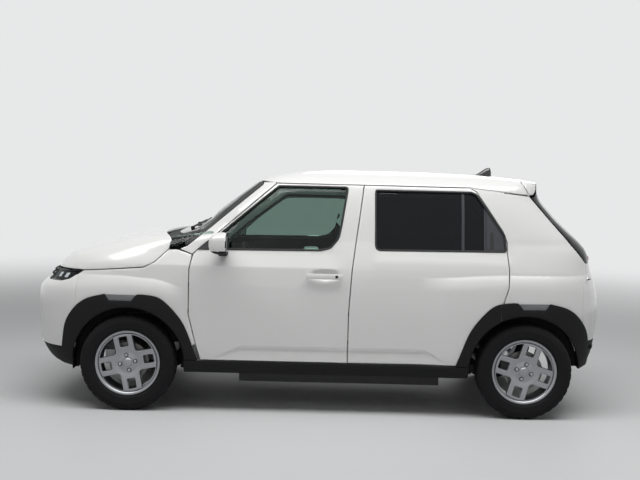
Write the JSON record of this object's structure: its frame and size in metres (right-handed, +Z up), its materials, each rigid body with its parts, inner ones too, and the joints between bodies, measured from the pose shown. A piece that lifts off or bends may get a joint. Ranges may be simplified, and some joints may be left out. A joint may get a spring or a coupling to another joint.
{
  "type": "small car",
  "caption": "Small five-door city car with boxy white body, black wheel-arch claddings, hinged doors, hood and tailgate, steered front wheels and a hollow cabin.",
  "frame": {"origin": "on the ground under the middle of the body length", "axes": "nose along -X, left side along -Y, up along +Z"},
  "size_m": [3.825, 1.9796, 1.634],
  "materials": {
    "paint": "gloss",
    "cladding": "matte",
    "clear_glass": "clear",
    "tinted_glass": "tinted",
    "lamp": "gloss",
    "tail_lamp": "gloss",
    "underbody": "satin",
    "cabin_plastic": "matte",
    "seat_cloth": "matte",
    "casting": "cast",
    "tyre": "matte",
    "rim": "satin",
    "steel": "turned"
  },
  "bodies": {
    "body": {"floor_pan": "underbody", "wheelhouses": "cladding", "bulkhead": "underbody", "body_side_left": "paint", "body_side_right": "paint", "roof": "paint", "windscreen": "clear_glass", "front_fenders": "paint", "front_bumper": "paint", "rear_bumper": "paint", "lower_valances": "cladding", "grille": "cladding", "headlamps": "lamp", "claddings": "cladding", "dashboard": "cabin_plastic", "front_seats": "seat_cloth", "rear_seat": "seat_cloth", "battery_pack": "casting", "drive_unit": "casting", "front_suspension": "underbody", "rear_axle": "underbody", "wipers": "cladding", "antenna": "cladding"},
    "steering": {"steering_wheel": "cabin_plastic"},
    "knuckle_l": {"knuckle_left": "underbody"},
    "knuckle_r": {"knuckle_right": "underbody"},
    "wheel_fl": {"tyre_front_left": "tyre", "rim_front_left": "rim", "hub_front_left": "steel"},
    "wheel_fr": {"tyre_front_right": "tyre", "rim_front_right": "rim", "hub_front_right": "steel"},
    "wheel_rl": {"tyre_rear_left": "tyre", "rim_rear_left": "rim", "hub_rear_left": "steel"},
    "wheel_rr": {"tyre_rear_right": "tyre", "rim_rear_right": "rim", "hub_rear_right": "steel"},
    "door_fl": {"door_front_left": "paint", "window_front_left": "clear_glass", "fittings_left": "paint"},
    "door_fr": {"door_front_right": "paint", "window_front_right": "clear_glass", "fittings_right": "paint"},
    "door_rl": {"door_rear_left": "paint", "window_rear_left": "tinted_glass", "door_cladding_left": "cladding"},
    "door_rr": {"door_rear_right": "paint", "window_rear_right": "tinted_glass", "door_cladding_right": "cladding"},
    "tailgate": {"tailgate": "paint", "tailgate_glass": "tinted_glass", "tail_lamps": "tail_lamp"},
    "hood": {"hood": "paint"}
  },
  "joints": [
    {"name": "steering_turn", "type": "hinge", "parent": "body", "child": "steering", "pos_m": [-0.43751, -0.36, 0.925], "axis": [0.9063, 0, 0.4226], "range_deg": [-480, 480]},
    {"name": "steer_l", "type": "hinge", "parent": "body", "child": "knuckle_l", "pos_m": [-1.2225, -0.655, 0.311], "axis": [0, 0, 1], "range_deg": [-33, 33]},
    {"name": "steer_r", "type": "hinge", "parent": "body", "child": "knuckle_r", "pos_m": [-1.2225, 0.655, 0.311], "axis": [0, 0, 1], "range_deg": [-33, 33]},
    {"name": "spin_fl", "type": "hinge", "parent": "knuckle_l", "child": "wheel_fl", "pos_m": [-1.2225, -0.7, 0.311], "axis": [0, -1, 0], "continuous": true},
    {"name": "spin_fr", "type": "hinge", "parent": "knuckle_r", "child": "wheel_fr", "pos_m": [-1.2225, 0.7, 0.311], "axis": [0, -1, 0], "continuous": true},
    {"name": "spin_rl", "type": "hinge", "parent": "body", "child": "wheel_rl", "pos_m": [1.3575, -0.7, 0.311], "axis": [0, -1, 0], "continuous": true},
    {"name": "spin_rr", "type": "hinge", "parent": "body", "child": "wheel_rr", "pos_m": [1.3575, 0.7, 0.311], "axis": [0, -1, 0], "continuous": true},
    {"name": "door_fl_swing", "type": "hinge", "parent": "body", "child": "door_fl", "pos_m": [-0.8735, -0.766, 0.66], "axis": [0, 0, -1], "range_deg": [0, 65]},
    {"name": "door_fr_swing", "type": "hinge", "parent": "body", "child": "door_fr", "pos_m": [-0.8735, 0.766, 0.66], "axis": [0, 0, 1], "range_deg": [0, 65]},
    {"name": "door_rl_swing", "type": "hinge", "parent": "body", "child": "door_rl", "pos_m": [0.16447, -0.759, 0.66], "axis": [0, 0, -1], "range_deg": [0, 62]},
    {"name": "door_rr_swing", "type": "hinge", "parent": "body", "child": "door_rr", "pos_m": [0.16447, 0.759, 0.66], "axis": [0, 0, 1], "range_deg": [0, 62]},
    {"name": "tailgate_lift", "type": "hinge", "parent": "body", "child": "tailgate", "pos_m": [1.30445, 0, 1.54], "axis": [0, -1, 0], "range_deg": [0, 70]},
    {"name": "hood_lift", "type": "hinge", "parent": "body", "child": "hood", "pos_m": [-0.9255, 0, 1.085], "axis": [0, 1, 0], "range_deg": [0, 48]}
  ],
  "couplings": [
    {"joint": "steer_l", "follows": "steering_turn", "ratio": 0.066667},
    {"joint": "steer_r", "follows": "steering_turn", "ratio": 0.066667}
  ]
}
